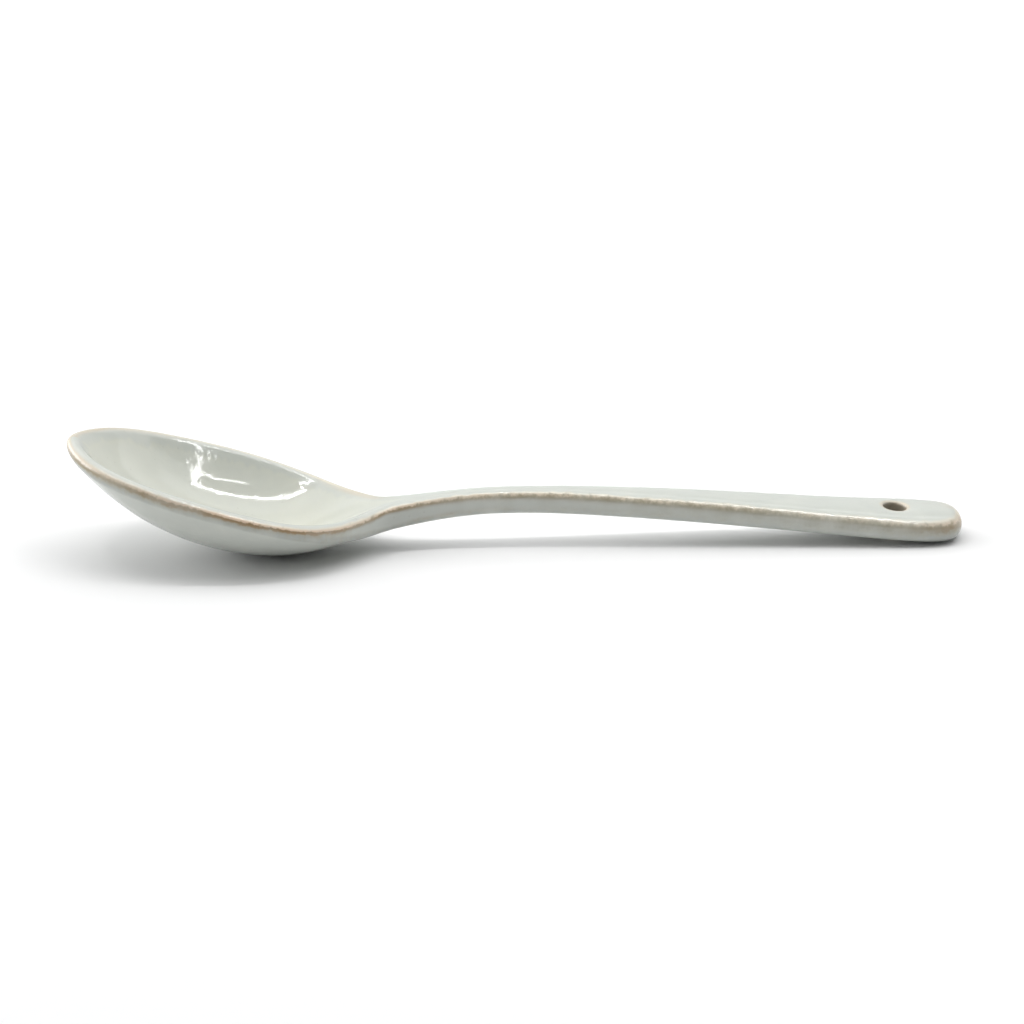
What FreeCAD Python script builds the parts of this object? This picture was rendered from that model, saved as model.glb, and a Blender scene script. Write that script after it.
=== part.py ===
"""Iced tea spoon in stoneware: a deep oval bowl that runs into a long flat handle.

The spoon is one solid piece. It lies along X with the tip of the bowl at minus X, +Z up
and the table at Z = 0. The origin is on the table, half way along the spoon.
"""
import FreeCAD, Part
import math
import os

# Plan sizes, in millimetres
OVERALL_LENGTH = 184.0
BOWL_LENGTH = 64.0
BOWL_WIDTH = 39.0
WAIST_WIDTH = 4.75
HANDLE_END_WIDTH = 14.8

# Half width of the blunt tip, which leaves room for the lip to turn round it
TIP_HALF_WIDTH = 3.3

# Heights of the underside above the table: out at the tip, and under the neck
TIP_HEIGHT = 24.9
ARCH_HEIGHT = 7.1

# Depth of the hollow at its widest place, and how much steeper its sides are than a parabola
BOWL_DEPTH = 15.1
STEEPENING_SHARE = 0.114

# Thickness of the clay
BOWL_WALL = 3.0
NECK_THICKNESS = 5.5
END_THICKNESS = 5.7
HANDLE_CROWN = 0.4

# The clay thickens from the bowl to the neck over this share of the bowl's length
HEEL_SHARE = 0.22

# Rounded edges, limited by the thickness of the clay they lie on
LIP_RADIUS = 0.47 * BOWL_WALL
BOWL_UNDER_RADIUS = 0.33 * NECK_THICKNESS
END_TOP_RADIUS = 0.44 * END_THICKNESS
END_UNDER_RADIUS = 0.50 * END_THICKNESS

# Hole to hang the spoon by
HOLE_DIAMETER = 5.7
HOLE_INSET = 14.0
HOLE_MOUTH_RADIUS = 0.5

# Values that follow from the sizes
TIP_X = -OVERALL_LENGTH / 2
NECK_X = TIP_X + BOWL_LENGTH
HANDLE_LENGTH = OVERALL_LENGTH - BOWL_LENGTH
HALF_BOWL = BOWL_WIDTH / 2
HALF_WAIST = WAIST_WIDTH / 2
HALF_END = HANDLE_END_WIDTH / 2
SHEET_HALF_WIDTH = 1.25 * max(HALF_BOWL, HALF_END)
REACH = 4 * (TIP_HEIGHT + BOWL_DEPTH)

# Outline of one side after the tip, as control points: share of the bowl's length, share of
# its half width
BOWL_OUTLINE_SHARES = [
    (0.0625, 0.615),
    (0.234, 0.910),
    (0.469, 1.023),
    (0.641, 0.988),
    (0.781, 0.833),
    (0.906, 0.489),
    (0.984, 0.247),
]

# The same for the handle: share of its length, share of the way from waist to end width
HANDLE_OUTLINE_SHARES = [
    (0.017, 0.145),
    (0.133, -0.063),
    (0.317, 0.098),
    (0.550, 0.490),
    (0.800, 0.785),
    (0.917, 1.119),
    (1.0, 0.885),
]

# Underside seen from the side: share of the bowl's length, share of the tip's height
BOWL_KEEL_SHARES = [
    (-0.125, 1.368),
    (0.031, 0.818),
    (0.141, 0.487),
    (0.328, 0.171),
    (0.516, 0.012),
    (0.719, -0.020),
]

# The underside goes on over the neck: share of the handle's length, share of the arch
HANDLE_KEEL_SHARES = [
    (-0.058, 0.439),
    (0.0, 0.613),
    (0.050, 0.744),
    (0.1625, 1.037),
    (0.325, 0.968),
    (0.550, 0.677),
    (0.758, 0.306),
    (0.933, 0.051),
    (1.067, -0.059),
]

# Bend across the hollow at each point of the underside, as a share of the widest place
HOLLOW_SHARES = [1.157, 1.120, 1.109, 1.070, 0.966, 0.874, 0.852, 0.961, 1.014, 0.538]

# Bend across the underside under the last points of the hollow, where it turns into the flat
# handle, as a share of the widest place
NECK_UNDER_SHARES = [0.541, 0.435, 0.251]


def smooth_knots(count, degree):
    """Even knots that make a curve start and end on its first and last control points."""
    inner = count - degree
    values = [i / inner for i in range(inner + 1)]
    repeats = [degree + 1] + [1] * (inner - 1) + [degree + 1]
    return values, repeats


def outline_edges(side):
    """Outline of one side of the spoon, in two edges that meet at the neck."""
    points = [(TIP_X, 0.0), (TIP_X, TIP_HALF_WIDTH)]
    points += [(TIP_X + s * BOWL_LENGTH, w * HALF_BOWL) for s, w in BOWL_OUTLINE_SHARES]
    for s, w in HANDLE_OUTLINE_SHARES:
        width = HALF_WAIST + w * (HALF_END - HALF_WAIST)
        points.append((NECK_X + s * HANDLE_LENGTH, width))
    points.append((NECK_X + HANDLE_LENGTH, 0.0))
    knots, repeats = smooth_knots(len(points), 3)
    curve = Part.BSplineCurve()
    poles = [FreeCAD.Vector(x, side * y, -REACH) for x, y in points]
    curve.buildFromPolesMultsKnots(poles, repeats, knots, False, 3)
    cutting_plane = Part.Plane(FreeCAD.Vector(NECK_X, 0, 0), FreeCAD.Vector(1, 0, 0))
    meeting = curve.intersect(cutting_plane)[0][0]
    place = FreeCAD.Vector(meeting.X, meeting.Y, meeting.Z)
    at_neck = curve.parameter(place)
    return [curve.toShape(curve.FirstParameter, at_neck), curve.toShape(at_neck, curve.LastParameter)]


def keel_points():
    """Control points of the underside on the centre line."""
    points = [(TIP_X + s * BOWL_LENGTH, h * TIP_HEIGHT) for s, h in BOWL_KEEL_SHARES]
    points += [(NECK_X + s * HANDLE_LENGTH, h * ARCH_HEIGHT) for s, h in HANDLE_KEEL_SHARES]
    return points


def clay_thickness(x):
    """Thickness of the clay on the centre line: thin in the bowl, full from the neck on."""
    heel = NECK_X - HEEL_SHARE * BOWL_LENGTH
    if x <= heel:
        return BOWL_WALL
    if x <= NECK_X:
        return BOWL_WALL + (NECK_THICKNESS - BOWL_WALL) * (x - heel) / (NECK_X - heel)
    return NECK_THICKNESS + (END_THICKNESS - NECK_THICKNESS) * (x - NECK_X) / HANDLE_LENGTH


def raised(points):
    """Points of the upper face: each point of the underside moved out by the thickness."""
    result = []
    for i, (x, z) in enumerate(points):
        before = points[max(i - 1, 0)]
        after = points[min(i + 1, len(points) - 1)]
        run = after[0] - before[0]
        rise = after[1] - before[1]
        length = math.hypot(run, rise)
        thickness = clay_thickness(x)
        result.append((x - rise / length * thickness, z + run / length * thickness))
    return result


def upper_bends(count):
    """Bend of the upper face across the spoon: the hollow first, then the crowned handle."""
    widest = BOWL_DEPTH / (HALF_BOWL ** 2 * (1 + STEEPENING_SHARE))
    crown = -HANDLE_CROWN / HALF_END ** 2
    return [share * widest for share in HOLLOW_SHARES] + [crown] * (count - len(HOLLOW_SHARES))


def under_bends(count):
    """Bend of the underside: one wall outside the hollow, then fading to the flat handle."""
    widest = BOWL_DEPTH / (HALF_BOWL ** 2 * (1 + STEEPENING_SHARE))
    walled = HOLLOW_SHARES[:-len(NECK_UNDER_SHARES)]
    bends = [1 / (1 / (share * widest) + 2 * BOWL_WALL) for share in walled]
    bends += [share * widest for share in NECK_UNDER_SHARES]
    return bends + [0.0] * (count - len(bends))


def bent_sheet(centre, bends):
    """Face over the whole plan: centre line bent across by y squared and y to the fourth."""
    half = SHEET_HALF_WIDTH
    square = [half ** 2 * share for share in (1, 0, -1 / 3, 0, 1)]
    fourth = [half ** 4 * share for share in (1, -1, 1, -1, 1)]
    rows = []
    for (x, z), bend in zip(centre, bends):
        steep = max(bend, 0) * STEEPENING_SHARE / HALF_BOWL ** 2
        row = []
        for j in range(5):
            height = z + bend * square[j] + steep * fourth[j]
            row.append(FreeCAD.Vector(x, half * (j / 2 - 1), height))
        rows.append(row)
    knots, repeats = smooth_knots(len(rows), 3)
    surface = Part.BSplineSurface()
    surface.buildFromPolesMultsKnots(rows, repeats, [5, 5], knots, [0.0, 1.0], False, False, 3, 4)
    return Part.Face(surface)


def sharp_body():
    """Clay between the underside and the upper face, cut to the outline."""
    edges = outline_edges(1) + outline_edges(-1)
    outline = Part.Wire(Part.__sortEdges__(edges))
    column = Part.Face(outline).extrude(FreeCAD.Vector(0, 0, 2 * REACH))
    keel = keel_points()
    underside = bent_sheet(keel, under_bends(len(keel)))
    upper_face = bent_sheet(raised(keel), upper_bends(len(keel)))
    above = underside.extrude(FreeCAD.Vector(0, 0, REACH))
    below = upper_face.extrude(FreeCAD.Vector(0, 0, -REACH))
    return column.common(above).common(below).Solids[0]


def radii_along(body, face, tip, neck, end):
    """Edges round a face, each with its radii: from tip to neck, or from neck to end."""
    laws = []
    for number, edge in enumerate(body.Edges, 1):
        if not any(edge.isSame(other) for other in face.Edges):
            continue
        first = edge.valueAt(edge.FirstParameter).x
        last = edge.valueAt(edge.LastParameter).x
        law = (tip, neck) if edge.CenterOfMass.x < NECK_X else (neck, end)
        laws.append((number,) + (law if first < last else law[::-1]))
    return laws


def rounded_body():
    """The body with its lip and its lower edge rounded all the way round."""
    body = sharp_body()
    sheets = [face for face in body.Faces if face.Surface.TypeId == "Part::GeomBSplineSurface"]
    under, top = sorted(sheets, key=lambda face: face.CenterOfMass.z)
    document = FreeCAD.newDocument("spoon")
    base = document.addObject("Part::Feature", "Body")
    base.Shape = body
    rounding = document.addObject("Part::Fillet", "RoundedEdges")
    rounding.Base = base
    lip = radii_along(body, top, LIP_RADIUS, LIP_RADIUS, END_TOP_RADIUS)
    foot = radii_along(body, under, BOWL_UNDER_RADIUS, BOWL_UNDER_RADIUS, END_UNDER_RADIUS)
    rounding.Edges = lip + foot
    document.recompute()
    return rounding.Shape.Solids[0]


def pierced(body):
    """The body with its hanging hole, straight through near the end, with soft mouths."""
    centre = TIP_X + OVERALL_LENGTH - HOLE_INSET
    drill = Part.makeCylinder(HOLE_DIAMETER / 2, 2 * REACH, FreeCAD.Vector(centre, 0, -REACH))
    body = body.cut(drill)
    walls = [face for face in body.Faces if face.Surface.TypeId == "Part::GeomCylinder"]
    mouths = [edge for wall in walls for edge in wall.Edges if not edge.isSeam(wall)]
    return body.makeFillet(HOLE_MOUTH_RADIUS, mouths)


def main():
    """Build the spoon, stand it on the table and write it."""
    spoon = pierced(rounded_body())
    os.makedirs("parts", exist_ok=True)
    spoon.exportStep("parts/spoon.step")
    print("volume", round(spoon.Volume, 1), "valid", spoon.isValid(), "faces", len(spoon.Faces))


main()
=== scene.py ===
import logging
import math
from dataclasses import dataclass, field
from enum import Enum
from typing import NamedTuple

import bmesh
import bpy
from mathutils import Matrix, Vector, geometry, noise
from mathutils.bvhtree import BVHTree


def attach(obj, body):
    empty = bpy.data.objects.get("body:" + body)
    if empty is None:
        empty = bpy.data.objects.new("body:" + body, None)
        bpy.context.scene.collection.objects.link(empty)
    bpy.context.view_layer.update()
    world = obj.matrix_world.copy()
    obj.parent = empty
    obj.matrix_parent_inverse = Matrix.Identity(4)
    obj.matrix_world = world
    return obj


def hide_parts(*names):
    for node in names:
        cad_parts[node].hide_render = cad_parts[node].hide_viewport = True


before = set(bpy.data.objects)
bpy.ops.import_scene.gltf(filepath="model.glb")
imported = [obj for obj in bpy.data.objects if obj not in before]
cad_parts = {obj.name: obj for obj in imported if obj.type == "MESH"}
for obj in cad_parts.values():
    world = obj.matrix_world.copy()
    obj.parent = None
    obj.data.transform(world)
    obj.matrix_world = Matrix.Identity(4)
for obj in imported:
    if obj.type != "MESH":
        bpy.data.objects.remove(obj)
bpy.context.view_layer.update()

log = logging.getLogger("iced_tea_spoon")


class NodeTree:
    """Short hand for laying out the nodes of a material or of the world."""

    def __init__(self, owner: bpy.types.Material | bpy.types.World) -> None:
        """Clear the owner's nodes and keep its tree.

        Args:
            owner: The material or world whose nodes are laid out.
        """
        owner.use_nodes = True
        self.tree = owner.node_tree
        self.tree.nodes.clear()

    def add(self, kind: str, **settings: object) -> bpy.types.Node:
        """Add a node and set its options and unlinked inputs.

        Args:
            kind: Blender's name of the node type, without "ShaderNode".
            **settings: Node properties, or inputs whose names start with "in_".

        Returns:
            The new node.
        """
        node = self.tree.nodes.new("ShaderNode" + kind)
        for name, value in settings.items():
            if name.startswith("in_"):
                node.inputs[name[3:].replace("_", " ")].default_value = value
            else:
                setattr(node, name, value)
        return node

    def link(self, source: bpy.types.NodeSocket, target: bpy.types.NodeSocket) -> None:
        """Link an output socket to an input socket."""
        self.tree.links.new(source, target)

    def math(self, operation: str, first: object, second: object) -> bpy.types.NodeSocket:
        """Add a Math node.

        Args:
            operation: Blender's name of the operation.
            first: Socket or number for the first input.
            second: Socket or number for the second input.

        Returns:
            The result's socket.
        """
        node = self.add("Math", operation=operation)
        for place, value in enumerate((first, second)):
            if isinstance(value, bpy.types.NodeSocket):
                self.link(value, node.inputs[place])
            else:
                node.inputs[place].default_value = value
        return node.outputs[0]

    def ramp(self, factor: bpy.types.NodeSocket, stops: tuple) -> bpy.types.NodeSocket:
        """Add a colour ramp.

        Args:
            factor: Socket that runs along the ramp.
            stops: Pairs of position and linear colour.

        Returns:
            The colour's socket.
        """
        node = self.add("ValToRGB")
        elements = node.color_ramp.elements
        while len(elements) < len(stops):
            elements.new(0.5)
        for element, (position, colour) in zip(elements, stops):
            element.position = position
            element.color = (*colour, 1.0)
        self.link(factor, node.inputs["Fac"])
        return node.outputs["Color"]

    def mix(self, factor: object, first: object, second: object) -> bpy.types.NodeSocket:
        """Mix two colours.

        Args:
            factor: Socket or number, 0 for the first colour and 1 for the second.
            first: Socket or linear colour.
            second: Socket or linear colour.

        Returns:
            The mixed colour's socket.
        """
        node = self.add("Mix", data_type="RGBA")
        for place, value in ((0, factor), (6, first), (7, second)):
            if isinstance(value, bpy.types.NodeSocket):
                self.link(value, node.inputs[place])
            elif place == 0:
                node.inputs[place].default_value = value
            else:
                node.inputs[place].default_value = (*value, 1.0)
        return node.outputs[2]

    def map_range(self, value: bpy.types.NodeSocket, run: tuple, results: tuple) -> bpy.types.Node:
        """Add a clamped Map Range node.

        Args:
            value: Socket to map.
            run: Values at which the change starts and ends.
            results: Results at the start and at the end.

        Returns:
            The node, whose result is its first output.
        """
        node = self.add("MapRange", in_From_Min=run[0], in_From_Max=run[1])
        node.inputs["To Min"].default_value, node.inputs["To Max"].default_value = results
        self.link(value, node.inputs["Value"])
        return node


def smooth_step(low: float, high: float, value: float) -> float:
    """Rise smoothly from 0 at one value to 1 at another.

    Args:
        low: Value at which the rise starts.
        high: Value at which it ends.
        value: Value to place between them.

    Returns:
        Share of the rise.
    """
    share = max(0.0, min(1.0, (value - low) / (high - low)))
    return share * share * (3.0 - 2.0 * share)


def relax(mesh: bmesh.types.BMesh, verts: object) -> None:
    """Move vertices half way to the middle of their neighbours."""
    axes = {"use_axis_x": True, "use_axis_y": True, "use_axis_z": True}
    bmesh.ops.smooth_vert(mesh, verts=verts, factor=0.5, **axes)


class Mark(Enum):
    """Attributes in which the skin tells the glaze how it lies."""

    THIN = "thin_glaze"
    WORN = "worn_glaze"
    RUDDY = "ruddy_clay"
    # Pooled glaze in the hollows, partly painted light, and below zero the painted shade in the hole
    POOLED_AND_PAINTED_LIGHT = "pooled_glaze_and_painted_light"
    BLUSHED = "blushed_glaze"


@dataclass(frozen=True)
class CeladonGlaze:
    """Glossy grey-green glaze that breaks to tan clay where it thins on the edges."""

    # Linear colours of the glaze and of the clay under it
    # Pooled glaze in the hollows, lighter than the plain glaze: partly its own tone, partly painted light
    # that brightens the bowl's hollow
    pooled_and_painted_light: tuple = (0.612, 0.620, 0.535)
    plain: tuple = (0.548, 0.570, 0.527)
    hazy: tuple = (0.640, 0.650, 0.590)
    # Slate is the plain glaze darkened as painted shade; greyed and olive are worn glaze that also carries
    # painted shade under the edges' shoulders
    shaded_slate: tuple = (0.430, 0.450, 0.425)
    greyed: tuple = (0.420, 0.405, 0.325)
    olive_and_shade: tuple = (0.325, 0.310, 0.230)
    # Cream is pale clay on a worn lip and also a painted highlight where the lip's top faces the lamps
    cream_and_highlight: tuple = (0.690, 0.645, 0.530)
    brown: tuple = (0.330, 0.230, 0.124)
    tan: tuple = (0.780, 0.620, 0.470)
    # Painted shade for the wall of the hanging hole, where little light gets in
    painted_hole_shade: tuple = (0.110, 0.098, 0.072)
    blush: tuple = (0.600, 0.510, 0.385)
    speck: tuple = (0.300, 0.290, 0.230)

    # Thinness at which each colour is reached
    shaded_slate_at: float = 0.18
    greyed_at: float = 0.30
    olive_and_shade_at: tuple = (0.37, 0.52)
    cream_and_highlight_at: float = 0.95
    brown_at: tuple = (0.44, 0.70)
    tan_at: float = 0.87

    # Cells of each noise in a metre
    mottle_cells: float = 60.0
    drift_cells: float = 110.0
    haze_cells: float = 150.0
    blush_cells: float = 160.0
    patch_cells: float = 300.0
    speck_cells: float = 650.0
    peel_cells: float = 850.0
    grain_cells: float = 1100.0
    grit_cells: float = 1500.0

    # How far each noise changes the glaze
    drift: float = 0.5
    grain: float = 0.8
    mottle_base: float = 0.3
    haze_from: float = 0.46
    haze: float = 1.6
    blush_base: float = 0.4
    speck_radius: float = 0.13
    speck_share: float = 0.22
    speck_depth: float = 0.14

    # Gloss and relief
    ior: float = 1.52
    specular: float = 0.5
    edge_specular: float = 0.4
    roughness: float = 0.06
    edge_roughness: float = 0.16
    edge_thinness: tuple = (0.3, 0.9)
    patch_roughness: float = 0.03
    peel_height: float = 0.000018
    grit_height: float = 0.00008

    def material(self) -> bpy.types.Material:
        """Build the glaze's material.

        Returns:
            The material, read in Object coordinates and the glaze attributes.
        """
        material = bpy.data.materials.new("glazed_stoneware")
        nodes = NodeTree(material)
        place = nodes.add("TexCoord").outputs["Object"]
        cover = self.marked(nodes, Mark.WORN)
        thinness = self.thinness(nodes, place)
        thin = nodes.math("MULTIPLY", thinness, cover)
        colour = nodes.mix(cover, self.plain, self.edge(nodes, thinness))
        colour = self.clouded(nodes, place, colour)
        colour = self.blushed(nodes, place, colour)
        colour = self.speckled(nodes, place, colour)
        shader = nodes.add("BsdfPrincipled", in_IOR=self.ior)
        nodes.link(colour, shader.inputs["Base Color"])
        level = nodes.math("ADD", nodes.math("MULTIPLY", thin, self.edge_specular), self.specular)
        nodes.link(level, shader.inputs["Specular IOR Level"])
        nodes.link(self.gloss(nodes, place, thin), shader.inputs["Roughness"])
        nodes.link(self.relief(nodes, place, thin), shader.inputs["Normal"])
        output = nodes.add("OutputMaterial")
        nodes.link(shader.outputs["BSDF"], output.inputs["Surface"])
        return material

    def marked(self, nodes: NodeTree, mark: Mark) -> bpy.types.NodeSocket:
        """Read one of the glaze attributes."""
        return nodes.add("Attribute", attribute_name=mark.value).outputs["Fac"]

    def cloud(
        self, nodes: NodeTree, place: bpy.types.NodeSocket, cells: float, detail: float
    ) -> bpy.types.NodeSocket:
        """Soft noise at a scale given in cells a metre.

        Args:
            nodes: Tree to add to.
            place: Coordinates to read.
            cells: Cells of noise in a metre.
            detail: Octaves of finer noise.

        Returns:
            The noise's value, about 0.5 on average.
        """
        texture = nodes.add("TexNoise", in_Scale=cells, in_Detail=detail, in_Roughness=0.55)
        nodes.link(place, texture.inputs["Vector"])
        return texture.outputs["Fac"]

    def thinness(self, nodes: NodeTree, place: bpy.types.NodeSocket) -> bpy.types.NodeSocket:
        """How thin the glaze lies, broken up by drifts and by the clay's grain.

        Args:
            nodes: Tree to add to.
            place: Coordinates to read.

        Returns:
            Socket of the thinness with its noise.
        """
        thin = self.marked(nodes, Mark.THIN)
        drift = nodes.math("SUBTRACT", self.cloud(nodes, place, self.drift_cells, 3.0), 0.5)
        grain = nodes.math("SUBTRACT", self.cloud(nodes, place, self.grain_cells, 2.0), 0.5)
        drift = nodes.math("MULTIPLY", drift, nodes.math("MULTIPLY", thin, self.drift))
        grain = nodes.math("MULTIPLY", grain, nodes.math("MULTIPLY", thin, self.grain))
        return nodes.math("ADD", nodes.math("ADD", thin, drift), grain)

    def edge(self, nodes: NodeTree, thinness: bpy.types.NodeSocket) -> bpy.types.NodeSocket:
        """Colour of a worn edge: olive to cream over pale clay, brown to tan over ruddy clay; the slate,
        greyed and olive tones are partly painted shade and the cream partly a painted highlight.

        Args:
            nodes: Tree to add to.
            thinness: How thin the glaze lies.

        Returns:
            The colour's socket.
        """
        # The slate, greyed and olive stops are partly painted shade
        start = ((0.0, self.plain), (self.shaded_slate_at, self.shaded_slate), (self.greyed_at, self.greyed))
        olive_and_shade = tuple((position, self.olive_and_shade) for position in self.olive_and_shade_at)
        brown = tuple((position, self.brown) for position in self.brown_at)
        # Cream at the end of the pale ramp is partly a painted highlight
        pale = nodes.ramp(thinness, (*start, *olive_and_shade, (self.cream_and_highlight_at, self.cream_and_highlight)))
        ruddy = nodes.ramp(thinness, (*start, *brown, (self.tan_at, self.tan)))
        return nodes.mix(self.marked(nodes, Mark.RUDDY), pale, ruddy)

    def clouded(
        self, nodes: NodeTree, place: bpy.types.NodeSocket, colour: bpy.types.NodeSocket
    ) -> bpy.types.NodeSocket:
        """Haze all over, pooled glaze in the hollows that is partly painted light, and painted shade inside
        the hole.

        Args:
            nodes: Tree to add to.
            place: Coordinates to read.
            colour: Colour so far.

        Returns:
            The new colour's socket.
        """
        haze = nodes.math("SUBTRACT", self.cloud(nodes, place, self.haze_cells, 5.0), self.haze_from)
        colour = nodes.mix(nodes.math("MULTIPLY", haze, self.haze), colour, self.hazy)
        pool_and_painted_light = self.marked(nodes, Mark.POOLED_AND_PAINTED_LIGHT)
        mottled = nodes.math("ADD", self.cloud(nodes, place, self.mottle_cells, 4.0), self.mottle_base)
        # Pooled glaze in the hollows, lightened as painted light
        colour = nodes.mix(nodes.math("MULTIPLY", pool_and_painted_light, mottled), colour, self.pooled_and_painted_light)
        # Painted shade inside the hanging hole, where the pooled attribute runs below zero
        return nodes.mix(nodes.math("MULTIPLY", pool_and_painted_light, -1.0), colour, self.painted_hole_shade)

    def blushed(
        self, nodes: NodeTree, place: bpy.types.NodeSocket, colour: bpy.types.NodeSocket
    ) -> bpy.types.NodeSocket:
        """Warm, uneven tint of clay that shines through.

        Args:
            nodes: Tree to add to.
            place: Coordinates to read.
            colour: Colour so far.

        Returns:
            The new colour's socket.
        """
        uneven = nodes.math("ADD", self.cloud(nodes, place, self.blush_cells, 2.0), self.blush_base)
        warm = nodes.math("MULTIPLY", self.marked(nodes, Mark.BLUSHED), uneven)
        return nodes.mix(warm, colour, self.blush)

    def speckled(
        self, nodes: NodeTree, place: bpy.types.NodeSocket, colour: bpy.types.NodeSocket
    ) -> bpy.types.NodeSocket:
        """Faint specks of iron, few and far between.

        Args:
            nodes: Tree to add to.
            place: Coordinates to read.
            colour: Colour so far.

        Returns:
            The new colour's socket.
        """
        cells = nodes.add("TexVoronoi", in_Scale=self.speck_cells)
        nodes.link(place, cells.inputs["Vector"])
        dots = nodes.math("LESS_THAN", cells.outputs["Distance"], self.speck_radius)
        channel = nodes.add("SeparateColor")
        nodes.link(cells.outputs["Color"], channel.inputs["Color"])
        chosen = nodes.math("LESS_THAN", channel.outputs["Red"], self.speck_share)
        specks = nodes.math("MULTIPLY", nodes.math("MULTIPLY", dots, chosen), self.speck_depth)
        return nodes.mix(specks, colour, self.speck)

    def gloss(
        self, nodes: NodeTree, place: bpy.types.NodeSocket, thin: bpy.types.NodeSocket
    ) -> bpy.types.NodeSocket:
        """Roughness: glassy where the glaze is full, duller on thin edges.

        Args:
            nodes: Tree to add to.
            place: Coordinates to read.
            thin: Thinness of the glaze.

        Returns:
            The roughness socket.
        """
        patches = self.cloud(nodes, place, self.patch_cells, 2.0)
        patchy = nodes.math("MULTIPLY", patches, self.patch_roughness)
        edge = nodes.map_range(thin, self.edge_thinness, (self.roughness, self.edge_roughness))
        return nodes.math("ADD", edge.outputs["Result"], patchy)

    def relief(
        self, nodes: NodeTree, place: bpy.types.NodeSocket, thin: bpy.types.NodeSocket
    ) -> bpy.types.NodeSocket:
        """Orange peel all over, and clay grit where the glaze is thin.

        Args:
            nodes: Tree to add to.
            place: Coordinates to read.
            thin: Thinness of the glaze.

        Returns:
            The normal socket.
        """
        peel = nodes.add("Bump", in_Strength=1.0, in_Distance=self.peel_height)
        nodes.link(self.cloud(nodes, place, self.peel_cells, 1.0), peel.inputs["Height"])
        grit = nodes.add("Bump", in_Strength=1.0, in_Distance=self.grit_height)
        height = nodes.math("MULTIPLY", self.cloud(nodes, place, self.grit_cells, 1.5), thin)
        nodes.link(height, grit.inputs["Height"])
        nodes.link(peel.outputs["Normal"], grit.inputs["Normal"])
        return grit.outputs["Normal"]


class Wear(NamedTuple):
    """How the edges wear at one place along the spoon.

    Tilts are in degrees: 0 where the skin faces outward, 90 where it faces up.

    Attributes:
        place: Place along the spoon.
        iron: How ruddy the clay is.
        over: Tilt over which the glaze is full again.
        full: Tilt at which the glaze is thinnest.
        under: Tilt under which it has hardly thinned.
    """

    place: float
    iron: float
    over: float
    full: float
    under: float


class Blush(NamedTuple):
    """Warm tint round one place along the spoon.

    Attributes:
        place: Place along the spoon.
        spread: Distance over which the tint fades.
        most: Strength of the tint at its place.
    """

    place: float
    spread: float
    most: float


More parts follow.
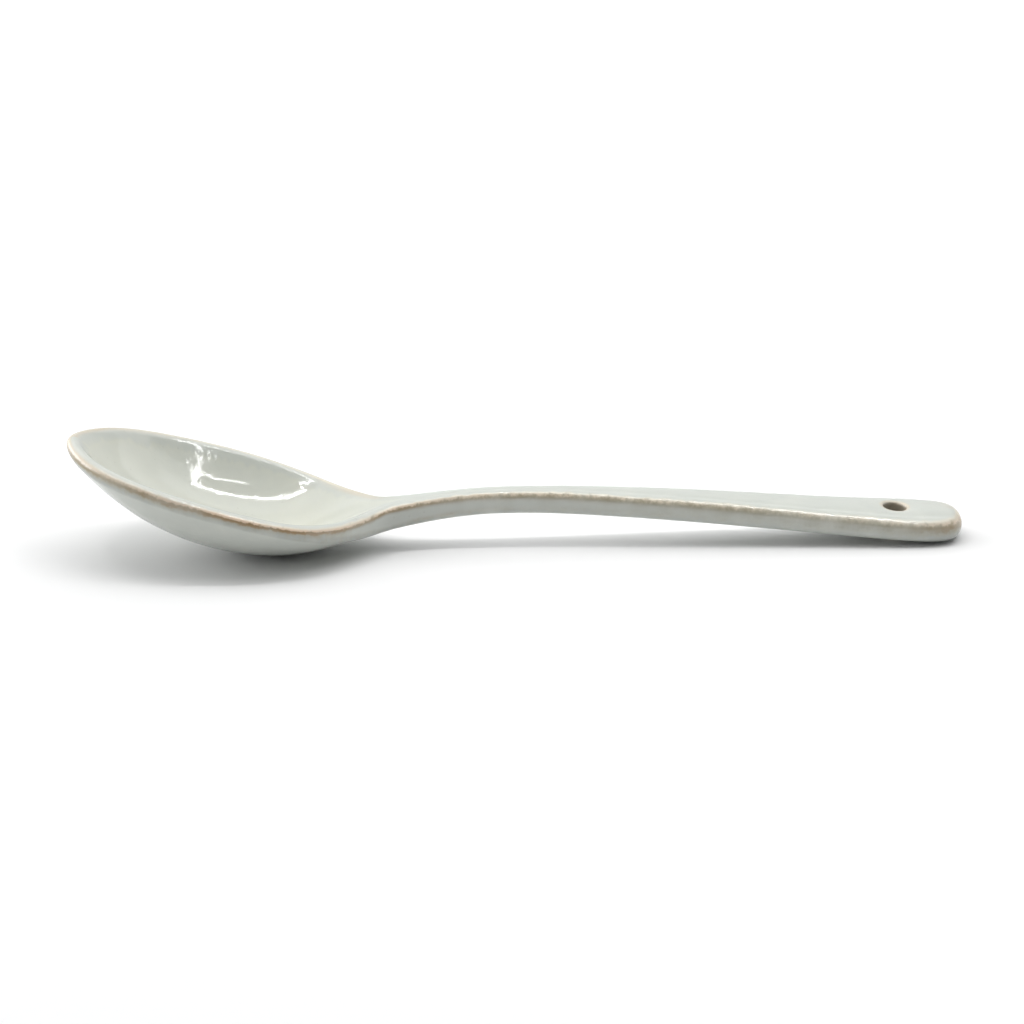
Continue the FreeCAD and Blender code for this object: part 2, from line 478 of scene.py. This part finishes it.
@dataclass
class GlazedSpoon:
    """The spoon with its even skin, its uneven glaze and the places where the glaze thins."""

    node: str = "spoon"
    finish: CeladonGlaze = field(default_factory=CeladonGlaze)

    # Even skin, laid on the CAD node's facets
    mesh_size: float = 0.00036
    merge_distance: float = 0.000002
    settle_passes: int = 2
    least_facet: float = 1e-12

    # Slow waves and small dimples of the glaze
    wave_height: float = 0.000035
    wave_length: float = 0.009
    dimple_height: float = 0.000012
    dimple_length: float = 0.0022
    dimple_offset: tuple = (7.0, 3.0, 1.0)

    # Softer edges on the handle: each pass starts a step further from the neck
    soft_from: float = -0.034
    soft_step: float = 0.0010
    soft_passes: int = 40
    soft_end: float = 0.074
    soft_end_passes: int = 14

    # Hanging hole, how the glaze gathers in it, and the painted shade on its wall
    hole_place: float = 0.078
    hole_radius: float = 0.00285
    hole_margin: float = 0.001
    hole_shift: float = 0.00045
    mouth_inner: float = 0.00048
    mouth_outer: float = 0.0044
    hole_thinness: float = 0.50
    hole_fade: float = 0.0003
    hole_iron: float = 0.4
    # Strength of the painted shade in the hole
    hole_shade_strength: float = 1.2

    # Thinning, from how far the skin bulges over a blurred copy
    blur_passes: int = 26
    full_thinning: float = 0.00019
    worn_bulge: tuple = (0.25, 0.70)
    blush_bulge: tuple = (-0.1, 0.5)
    pool_gain: float = 6.0

    # Middle line that the tilt of the skin is measured from
    spine_start: float = -0.062
    spine_end: float = 0.085

    # Worn edges, in degrees of tilt; on the handle the rows also set the olive band low on the side, where
    # it is partly painted shade
    bare_fade: float = 15.0
    # Tilt up to which the far lip is bare, partly a painted highlight along its crest
    bare_and_highlit_crest: float = 98.0
    bare_drift: float = 12.0
    bare_ripple: float = 9.0
    depth_drift: float = 0.6
    # A faint base of thinning on edges that face out or up, which lays the painted shade of the slate tone
    # on them
    faint_tilt: tuple = (-80.0, -50.0)
    faint_depth: float = 0.2
    # Tilts over which ruddy clay turns to cream on the lip's top, partly a painted highlight
    iron_tilt: tuple = (38.0, 54.0)
    bare_along: tuple = (
        Wear(-0.092, 0.40, 50.0, 46.0, -20.0),
        Wear(-0.080, 0.55, 48.0, 46.0, -18.0),
        Wear(-0.070, 0.85, 46.0, 46.0, -16.0),
        Wear(-0.062, 1.00, 46.0, 44.0, -16.0),
        Wear(-0.040, 1.00, 48.0, 42.0, -14.0),
        Wear(-0.033, 0.60, 48.0, 46.0, -20.0),
        Wear(-0.027, 0.70, 47.0, 54.0, -26.0),
        Wear(-0.010, 0.42, 50.0, 62.0, -32.0),
        Wear(0.020, 0.25, 50.0, 66.0, -34.0),
        Wear(0.075, 0.22, 50.0, 64.0, -32.0),
        Wear(0.092, 0.70, 50.0, 56.0, -24.0),
    )

    # Sizes of the wear's noise, and where the far lip starts to be bare over its crest, where the cream is
    # partly a painted highlight
    drift_size: float = 0.012
    ripple_size: float = 0.0018
    far_across: tuple = (-0.004, 0.008)
    far_along: tuple = (-0.034, -0.022)

    # Warm tint at the tip, the neck and the handle's end, and round the hole's mouths
    blush_places: tuple = (
        Blush(-0.092, 0.020, 0.75),
        Blush(-0.034, 0.006, 0.60),
        Blush(0.093, 0.005, 0.60),
    )
    blush_tilt: tuple = (-15.0, 55.0)
    blush_near_limit: float = 45.0
    blush_far_limit: float = 110.0
    blush_fade: float = 35.0
    neck_stretch: tuple = (-0.060, 0.0)
    neck_fade: float = 0.002
    ring_inner: tuple = (0.0001, 0.0004)
    ring_outer: tuple = (0.0005, 0.0010)
    ring_tint: float = 0.8

    def build(self) -> bpy.types.Object:
        """Make the glazed spoon and let it stand for the CAD node.

        Returns:
            The finished object.
        """
        shell = self.merged_shell()
        skin = self.even_skin(shell)
        self.lay_on(skin, shell)
        self.soften_handle(skin)
        self.fill_hole(skin)
        self.mark_glaze(skin)
        self.ripple(skin)
        return self.finished(skin, shell)

    def merged_shell(self) -> bpy.types.Object:
        """Copy the CAD node's mesh with its loose triangles merged.

        Returns:
            An object that holds the closed copy.
        """
        source = bpy.data.objects[self.node]
        mesh = bpy.data.meshes.new("spoon_shell")
        shell = bmesh.new()
        shell.from_mesh(source.data)
        shell.transform(source.matrix_world)
        bmesh.ops.remove_doubles(shell, verts=shell.verts, dist=self.merge_distance)
        shell.to_mesh(mesh)
        shell.free()
        holder = bpy.data.objects.new("spoon_shell", mesh)
        bpy.context.collection.objects.link(holder)
        return holder

    def even_skin(self, shell: bpy.types.Object) -> bmesh.types.BMesh:
        """Remesh the shell to small even faces.

        Args:
            shell: Object with the closed copy of the CAD mesh.

        Returns:
            The new skin.
        """
        remesh = shell.modifiers.new("even_faces", "REMESH")
        remesh.mode = "VOXEL"
        remesh.voxel_size = self.mesh_size
        graph = bpy.context.evaluated_depsgraph_get()
        skin = bmesh.new()
        skin.from_object(shell, graph)
        shell.modifiers.remove(remesh)
        for _ in range(self.settle_passes):
            relax(skin, skin.verts)
        return skin

    def lay_on(self, skin: bmesh.types.BMesh, shell: bpy.types.Object) -> None:
        """Lay the skin on the round surface that the shell's facets stand for.

        Each point of a facet goes half way to the planes that touch the surface at its corners.

        Args:
            skin: Skin to move.
            shell: Object with the closed copy of the CAD mesh.
        """
        mesh = shell.data
        places = [vertex.co for vertex in mesh.vertices]
        tree = BVHTree.FromPolygons(places, [facet.vertices for facet in mesh.polygons])
        for vertex in skin.verts:
            point, _, index, _ = tree.find_nearest(vertex.co)
            corners = [mesh.vertices[i] for i in mesh.polygons[index].vertices]
            lifted = [point + 0.5 * (c.co - point).dot(c.normal) * c.normal for c in corners]
            flat = [c.co for c in corners]
            if geometry.area_tri(*flat) > self.least_facet:
                point = geometry.barycentric_transform(point, *flat, *lifted)
            vertex.co = point
        relax(skin, skin.verts)
        skin.normal_update()

    def soften_handle(self, skin: bmesh.types.BMesh) -> None:
        """Round the handle's edges a little more, growing from the neck on and not in the hole.

        Args:
            skin: Skin to soften.
        """
        clear = self.hole_radius + self.hole_margin
        for step in range(self.soft_passes):
            start = self.soft_from + step * self.soft_step
            stop = math.inf
            if step >= self.soft_end_passes:
                stop = self.soft_end - (step - self.soft_end_passes) * self.soft_step
            chosen = [v for v in skin.verts if start < v.co.x < stop and self.from_hole(v.co) > clear]
            relax(skin, chosen)
        skin.normal_update()

    def fill_hole(self, skin: bmesh.types.BMesh) -> None:
        """Let the glaze gather in the hanging hole, which narrows it and softens its mouths.

        Args:
            skin: Skin to move.
        """
        for vertex in skin.verts:
            reach = self.from_hole(vertex.co)
            if reach < self.mouth_outer:
                share = min(1.0, (self.mouth_outer - reach) / (self.mouth_outer - self.hole_radius))
                narrowed = 1.0 - self.mouth_inner * share / reach
                vertex.co.x = self.hole_place + (vertex.co.x - self.hole_place) * narrowed
                vertex.co.y = vertex.co.y * narrowed + self.hole_shift * share
        skin.normal_update()

    def from_hole(self, place: Vector, shift: float = 0.0) -> float:
        """Distance from the middle line of the hanging hole, or from one shifted along Y."""
        return math.hypot(place.x - self.hole_place, place.y - shift)

    def mark_glaze(self, skin: bmesh.types.BMesh) -> None:
        """Store on each vertex how the glaze lies, in one attribute for each mark.

        Args:
            skin: Skin to mark.
        """
        thin, worn, ruddy, pooled_and_painted_light, blushed = (skin.verts.layers.float.new(mark.value) for mark in Mark)
        blurred = skin.copy()
        for _ in range(self.blur_passes):
            relax(blurred, blurred.verts)
        for vertex, soft in zip(skin.verts, blurred.verts):
            bulge = (vertex.co - soft.co).dot(vertex.normal) / self.full_thinning
            tilt = self.tilt(vertex)
            drilled = self.in_hole(vertex.co)
            depth, cover, iron = self.bareness(vertex.co, tilt)
            if drilled > 0.0:
                vertex[thin] = max(depth, drilled)
                vertex[worn] = 1.0
                vertex[ruddy] = self.hole_iron
                # Painted shade on the hole's wall, stored below zero in the pooled attribute
                vertex[pooled_and_painted_light] = -self.hole_shade_strength * drilled
            else:
                vertex[thin] = depth
                vertex[worn] = cover * smooth_step(*self.worn_bulge, bulge)
                vertex[ruddy] = iron
                # Pooled glaze in the hollows, whose colour is partly painted light
                vertex[pooled_and_painted_light] = max(0.0, min(1.0, -self.pool_gain * bulge))
            vertex[blushed] = smooth_step(*self.blush_bulge, bulge) * self.blush(vertex.co, tilt)
        blurred.free()

    def tilt(self, vertex: bmesh.types.BMVert) -> float:
        """Angle by which the skin faces up and in.

        Args:
            vertex: Vertex of the skin.

        Returns:
            Degrees: 0 where it faces outward, 90 where it faces up, more on the inner side.
        """
        spine = max(min(vertex.co.x, self.spine_end), self.spine_start)
        away = Vector((vertex.co.x - spine, vertex.co.y, 0.0))
        if away.length < 1e-6:
            return 90.0
        return math.degrees(math.atan2(vertex.normal.z, vertex.normal.dot(away.normalized())))

    def bareness(self, place: Vector, tilt: float) -> tuple:
        """How bare an edge is by the way it faces: most on the outer shoulder of the lip, and over the far
        lip's crest, where the cream is partly a painted highlight.

        Args:
            place: Place on the skin.
            tilt: Angle by which the skin faces up and in.

        Returns:
            Thinness of the glaze, how much of it shows, and how ruddy the clay under it is.
        """
        wear = self.along(place.x)
        # The far lip is bare over its crest, partly a painted highlight
        far = smooth_step(*self.far_across, place.y) * (1.0 - smooth_step(*self.far_along, place.x))
        over = wear.over + far * (self.bare_and_highlit_crest - wear.over)
        drift = self.bare_drift * noise.noise(place / self.drift_size)
        shift = drift + self.bare_ripple * noise.noise(place / self.ripple_size)
        outer = smooth_step(wear.under, wear.full, tilt + self.depth_drift * shift)
        faint = self.faint_depth * smooth_step(*self.faint_tilt, tilt)
        depth = faint + (1.0 - self.faint_depth) * outer
        cover = 1.0 - smooth_step(over, over + self.bare_fade, tilt + shift)
        # Ruddy clay turns to cream over the lip's top, partly a painted highlight
        return depth, cover, wear.iron * (1.0 - smooth_step(*self.iron_tilt, tilt))

    def along(self, x: float) -> Wear:
        """How the edges wear at a place along the spoon.

        Args:
            x: Place along the spoon.

        Returns:
            The wear, between the two rows that the place lies between.
        """
        wear = self.bare_along[0]
        for start, end in zip(self.bare_along, self.bare_along[1:]):
            if x > start.place:
                share = min(1.0, (x - start.place) / (end.place - start.place))
                wear = Wear(*(low + (high - low) * share for low, high in zip(start, end)))
        return wear

    def blush(self, place: Vector, tilt: float) -> float:
        """Warm tint of clay under thin glaze, at the tip, the neck and the handle's end.

        Args:
            place: Place on the skin.
            tilt: Angle by which the skin faces up and in.

        Returns:
            Strength of the tint.
        """
        tint = 0.0
        for spot in self.blush_places:
            tint += spot.most * math.exp(-(((place.x - spot.place) / spot.spread) ** 2))
        if self.neck_stretch[0] < place.x < self.neck_stretch[1]:
            tint *= smooth_step(-self.neck_fade, self.neck_fade, place.y)
        limit = self.blush_far_limit if place.y > 0.0 else self.blush_near_limit
        inner = 1.0 - smooth_step(limit, limit + self.blush_fade, tilt)
        tint = min(1.0, tint) * smooth_step(*self.blush_tilt, tilt) * inner
        mouth = self.from_hole(place, self.hole_shift) - self.hole_radius + self.mouth_inner
        ring = smooth_step(*self.ring_inner, mouth) * (1.0 - smooth_step(*self.ring_outer, mouth))
        return max(tint, self.ring_tint * ring)

    def in_hole(self, place: Vector) -> float:
        """Thin glaze on the wall of the hanging hole, fading out round its mouths; it also sets how strong
        the painted shade on the wall is.

        Args:
            place: Place on the skin.

        Returns:
            Thinness of the glaze there.
        """
        wall = self.hole_radius - self.mouth_inner
        outside = smooth_step(wall, wall + self.hole_fade, self.from_hole(place, self.hole_shift))
        return self.hole_thinness * (1.0 - outside)

    def ripple(self, skin: bmesh.types.BMesh) -> None:
        """Give the glaze its slow waves and its dimples.

        Args:
            skin: Skin to move.
        """
        offset = Vector(self.dimple_offset)
        for vertex in skin.verts:
            wave = noise.noise(vertex.co / self.wave_length) * self.wave_height
            dimple = noise.noise(vertex.co / self.dimple_length + offset) * self.dimple_height
            vertex.co += (wave + dimple) * vertex.normal

    def finished(self, skin: bmesh.types.BMesh, shell: bpy.types.Object) -> bpy.types.Object:
        """Turn the skin into the piece that is shown.

        Args:
            skin: Finished skin.
            shell: Object with the copy of the CAD mesh, which has done its work.

        Returns:
            The object, dressed and riding on the root.
        """
        for face in skin.faces:
            face.smooth = True
        mesh = bpy.data.meshes.new("glazed_spoon")
        skin.to_mesh(mesh)
        skin.free()
        mesh.materials.append(self.finish.material())
        spoon = bpy.data.objects.new("glazed_spoon", mesh)
        bpy.context.collection.objects.link(spoon)
        bpy.data.objects.remove(shell)
        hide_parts(self.node)
        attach(spoon, "root")
        return spoon


@dataclass(frozen=True)
class PhotoPaper:
    """Matt white paper that fades to the white of the background away from the spoon."""

    white: tuple = (0.80, 0.80, 0.80)
    fibre: tuple = (0.76, 0.76, 0.76)
    fibre_cells: float = 300.0
    fibre_depth: float = 0.05
    roughness: float = 0.9
    specular: float = 0.1
    wash_start: float = 0.11
    wash_end: float = 1.0
    wash: float = 0.90

    def material(self) -> bpy.types.Material:
        """Build the paper's material.

        Returns:
            The material.
        """
        material = bpy.data.materials.new("photo_paper")
        nodes = NodeTree(material)
        place = nodes.add("TexCoord").outputs["Object"]
        fibre = nodes.add("TexNoise", in_Scale=self.fibre_cells)
        nodes.link(place, fibre.inputs["Vector"])
        fibres = nodes.math("MULTIPLY", fibre.outputs["Fac"], self.fibre_depth)
        shader = nodes.add("BsdfPrincipled", in_Roughness=self.roughness)
        shader.inputs["Specular IOR Level"].default_value = self.specular
        nodes.link(nodes.mix(fibres, self.white, self.fibre), shader.inputs["Base Color"])
        distance = nodes.add("VectorMath", operation="LENGTH")
        nodes.link(place, distance.inputs[0])
        run = (self.wash_start, self.wash_end)
        wash = nodes.map_range(distance.outputs["Value"], run, (0.0, self.wash))
        seen = nodes.add("LightPath").outputs["Is Camera Ray"]
        glow = nodes.add("Emission")
        nodes.link(nodes.math("MULTIPLY", wash.outputs["Result"], seen), glow.inputs["Strength"])
        both = nodes.add("AddShader")
        nodes.link(shader.outputs["BSDF"], both.inputs[0])
        nodes.link(glow.outputs["Emission"], both.inputs[1])
        output = nodes.add("OutputMaterial")
        nodes.link(both.outputs["Shader"], output.inputs["Surface"])
        return material


@dataclass
class Panel:
    """A flat lamp that lies level and shines down."""

    name: str
    low: tuple
    high: tuple
    height: float
    radiance: float

    def hang(self) -> bpy.types.Object:
        """Hang the lamp over the table.

        Returns:
            The lamp.
        """
        width = self.high[0] - self.low[0]
        depth = self.high[1] - self.low[1]
        lamp = bpy.data.lights.new(self.name, "AREA")
        lamp.shape = "RECTANGLE"
        lamp.size = width
        lamp.size_y = depth
        lamp.energy = self.radiance * math.pi * width * depth
        holder = bpy.data.objects.new(self.name, lamp)
        middle = [(low + high) / 2 for low, high in zip(self.low, self.high)]
        holder.location = (*middle, self.height)
        holder.visible_camera = False
        bpy.context.collection.objects.link(holder)
        return holder


@dataclass
class LightTent:
    """A white tent with bright strips round the opening in its roof."""

    # Roof of dim cloth, brighter over the near part
    height: float = 0.45
    reach: float = 0.55
    depth: float = 0.55
    cloth_front: float = -0.14
    near_reach: float = 0.30
    near_depth: float = 0.13
    near_radiance: float = 2.3
    far_radiance: float = 1.2

    # Opening in the roof, with the strips round it
    left: float = -0.200
    right: float = 0.182
    back: float = -0.026
    right_front: float = -0.29
    left_front: float = -0.12
    strip: float = 0.013
    right_strip: float = 0.0117
    strip_drop: float = 0.004
    strip_radiance: float = 36.0
    dim_radiance: float = 28.8
    inner_left: float = 0.050
    inner_front: float = -0.150
    inner_back: float = -0.141

    # Walls, and the parts of the direction of sight between which each one fades
    wall: tuple = (0.98, 0.99, 1.0)
    wall_strength: float = 0.60
    left_strength: float = 4.40
    right_strength: float = 0.90
    room_strength: float = 0.02
    roof_strength: float = 0.10
    back_run: tuple = (-0.25, 0.05)
    left_run: tuple = (-0.40, -0.80)
    right_run: tuple = (0.40, 0.80)
    front_run: tuple = (-0.50, 0.0)
    roof_run: tuple = (0.30, 0.78)

    def build(self) -> list:
        """Hang every lamp and set the light of the walls.

        Returns:
            The lamps.
        """
        lamps = [panel.hang() for panel in self.cloths() + self.strips()]
        self.light_walls()
        return lamps

    def cloths(self) -> list:
        """Cloth of the roof.

        Returns:
            Its panels.
        """
        left, right, back, front = self.left, self.right, self.back, self.cloth_front
        near, middle, reach, top = self.near_reach, self.near_depth, self.reach, self.height
        bright, dim = self.near_radiance, self.far_radiance
        return [
            Panel("cloth_near", (-near, back), (near, middle), top, bright),
            Panel("cloth_far", (-reach, middle), (reach, self.depth), top, dim),
            Panel("cloth_left", (-reach, front), (-near, middle), top, dim),
            Panel("cloth_right", (near, front), (reach, middle), top, dim),
            Panel("cloth_inner_left", (-near, front), (left, back), top, dim),
            Panel("cloth_inner_right", (right, front), (near, back), top, dim),
        ]

    def strips(self) -> list:
        """Bright strips round the opening, a little under the cloth.

        Returns:
            Their panels.
        """
        left, right, back, edge = self.left, self.right, self.back, self.strip
        under, bright, dim = self.height - self.strip_drop, self.strip_radiance, self.dim_radiance
        end, side = back - edge, right + self.right_strip
        return [
            Panel("strip_back", (left - edge, end), (right + edge, back), under, bright),
            Panel("strip_left", (left - edge, self.left_front), (left, end), under, bright),
            Panel("strip_right", (right, self.right_front), (side, end), under, dim),
            Panel("strip_inner", (self.inner_left, self.inner_front), (right, self.inner_back), under, dim),
        ]

    def light_walls(self) -> None:
        """Light from the walls, bright behind the table and dim overhead and in the room in front."""
        world = bpy.data.worlds.new("tent_walls")
        bpy.context.scene.world = world
        nodes = NodeTree(world)
        split = nodes.add("SeparateXYZ")
        nodes.link(nodes.add("TexCoord").outputs["Generated"], split.inputs["Vector"])
        across, along, up = (split.outputs[axis] for axis in "XYZ")
        side = nodes.map_range(along, self.back_run, (self.room_strength, self.wall_strength))
        left = nodes.map_range(across, self.left_run, (0.0, self.left_strength))
        right = nodes.map_range(across, self.right_run, (0.0, self.right_strength))
        front = nodes.map_range(along, self.front_run, (0.0, 1.0))
        flanks = nodes.math("ADD", left.outputs["Result"], right.outputs["Result"])
        flanks = nodes.math("MULTIPLY", flanks, front.outputs["Result"])
        walls = nodes.math("MAXIMUM", side.outputs["Result"], flanks)
        fall = nodes.map_range(up, self.roof_run, (0.0, self.roof_strength))
        nodes.link(walls, fall.inputs["To Min"])
        seen = nodes.add("LightPath").outputs["Is Camera Ray"]
        strength = nodes.math("MAXIMUM", fall.outputs["Result"], seen)
        background = nodes.add("Background", in_Color=(*self.wall, 1.0))
        nodes.link(strength, background.inputs["Strength"])
        output = nodes.add("OutputWorld")
        nodes.link(background.outputs["Background"], output.inputs["Surface"])


@dataclass
class Table:
    """White paper under the spoon."""

    half_size: float = 3.0
    finish: PhotoPaper = field(default_factory=PhotoPaper)

    def build(self) -> bpy.types.Object:
        """Lay the paper.

        Returns:
            The floor.
        """
        paper = bmesh.new()
        bmesh.ops.create_grid(paper, x_segments=2, y_segments=2, size=self.half_size)
        mesh = bpy.data.meshes.new("paper")
        paper.to_mesh(mesh)
        paper.free()
        mesh.materials.append(self.finish.material())
        floor = bpy.data.objects.new("paper", mesh)
        bpy.context.collection.objects.link(floor)
        return floor


@dataclass
class PhotoCamera:
    """The camera that took the photograph, found from the spoon's outlines."""

    turn: float = math.radians(3.306)
    pitch: float = math.radians(20.806)
    distance: float = 0.600
    aim: tuple = (0.0, 0.0, 0.012)
    sensor: float = 36.0
    focal_pixels: float = 2917.3
    image_pixels: float = 1024.0
    centre_offset: tuple = (8.451, -22.275)
    nearest: float = 0.01

    def build(self) -> bpy.types.Object:
        """Set up the camera.

        Returns:
            The camera, made the scene's own.
        """
        data = bpy.data.cameras.new("photo_camera")
        data.sensor_width = self.sensor
        data.lens = self.focal_pixels * self.sensor / self.image_pixels
        data.shift_x = -self.centre_offset[0] / self.image_pixels
        data.shift_y = self.centre_offset[1] / self.image_pixels
        data.clip_start = self.nearest
        level = math.cos(self.pitch)
        view = Vector((math.sin(self.turn) * level, math.cos(self.turn) * level, -math.sin(self.pitch)))
        camera = bpy.data.objects.new("photo_camera", data)
        place = Matrix.Translation(Vector(self.aim) - self.distance * view)
        camera.matrix_world = place @ view.to_track_quat("-Z", "Y").to_matrix().to_4x4()
        bpy.context.collection.objects.link(camera)
        bpy.context.scene.camera = camera
        return camera


def main() -> None:
    """Build the spoon and its studio and report each piece."""
    logging.basicConfig(level=logging.INFO, format="%(name)s: %(message)s")
    bpy.context.scene.view_settings.view_transform = "Standard"
    spoon = GlazedSpoon().build()
    log.info("%s has %d faces", spoon.name, len(spoon.data.polygons))
    floor = Table().build()
    log.info("%s is %.1f m wide", floor.name, floor.dimensions.x)
    for lamp in LightTent().build():
        log.info("%s hangs at %.2f m", lamp.name, lamp.location.z)
    camera = PhotoCamera().build()
    log.info("%s has a %.1f mm lens", camera.name, camera.data.lens)


if __name__ == "__main__":
    main()
